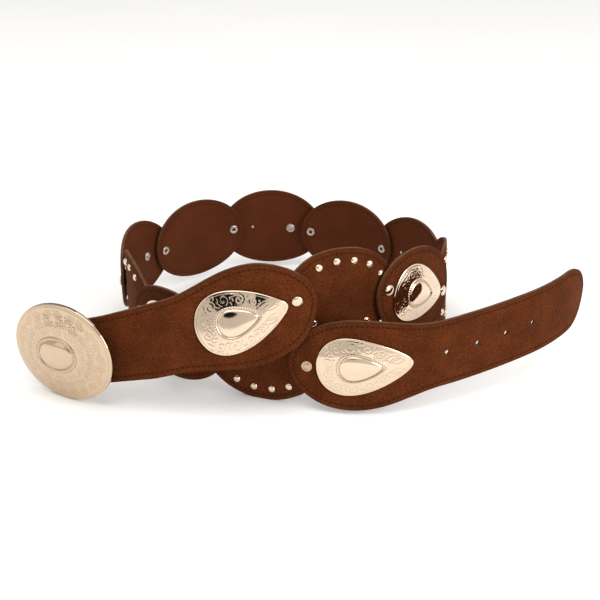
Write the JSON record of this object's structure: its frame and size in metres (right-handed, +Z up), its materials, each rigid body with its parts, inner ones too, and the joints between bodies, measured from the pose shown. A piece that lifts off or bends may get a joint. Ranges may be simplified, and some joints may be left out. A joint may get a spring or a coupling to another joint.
{
  "type": "concho belt",
  "caption": "Suede western belt of riveted oval links with engraved teardrop conchos, a large oval plate buckle and a punched tail strap.",
  "frame": {"origin": "on the floor, under the middle of the box around the whole belt as it stands on its edge", "axes": "+X from the buckle towards the tail's tip, +Y from the viewer towards the back of the loop, +Z up along the wearer's body"},
  "size_m": [0.4332, 0.278, 0.1151],
  "materials": {
    "suede": "brown suede with dark stitching and painted edges, smooth lining inside",
    "gold": "polished pale gold plate, engraved",
    "steel": "dull silver plate"
  },
  "bodies": {
    "belt": {"buckle_strap": "suede", "tail_strap": "suede", "studded_oval_1": "suede", "studded_oval_2": "suede", "studded_oval_3": "suede", "studded_oval_4": "suede", "studded_oval_5": "suede", "studded_oval_6": "suede", "concho_oval_1": "suede", "concho_oval_2": "suede", "concho_oval_3": "suede", "concho_oval_4": "suede", "concho_oval_5": "suede", "tear_concho_1": "gold", "tear_concho_2": "gold", "tear_concho_3": "gold", "tear_concho_4": "gold", "tear_concho_5": "gold", "tear_concho_6": "gold", "tear_concho_7": "gold", "concho_back_1": "steel", "concho_back_2": "steel", "concho_back_3": "steel", "concho_back_4": "steel", "concho_back_5": "steel", "concho_back_6": "steel", "concho_back_7": "steel", "link_rivet_1": "gold", "link_rivet_2": "gold", "link_rivet_3": "gold", "link_rivet_4": "gold", "link_rivet_5": "gold", "link_rivet_6": "gold", "link_rivet_7": "gold", "link_rivet_8": "gold", "link_rivet_9": "gold", "link_rivet_10": "gold", "link_rivet_11": "gold", "link_rivet_12": "gold"},
    "buckle": {"buckle_plate": "gold"}
  },
  "joints": [
    {"name": "buckle_swing", "type": "hinge", "parent": "belt", "child": "buckle", "pos_m": [-0.1615, -0.1126, 0.03977], "axis": [-0.2579, 0.1036, 0.9606], "range_deg": [-90, 18]}
  ]
}
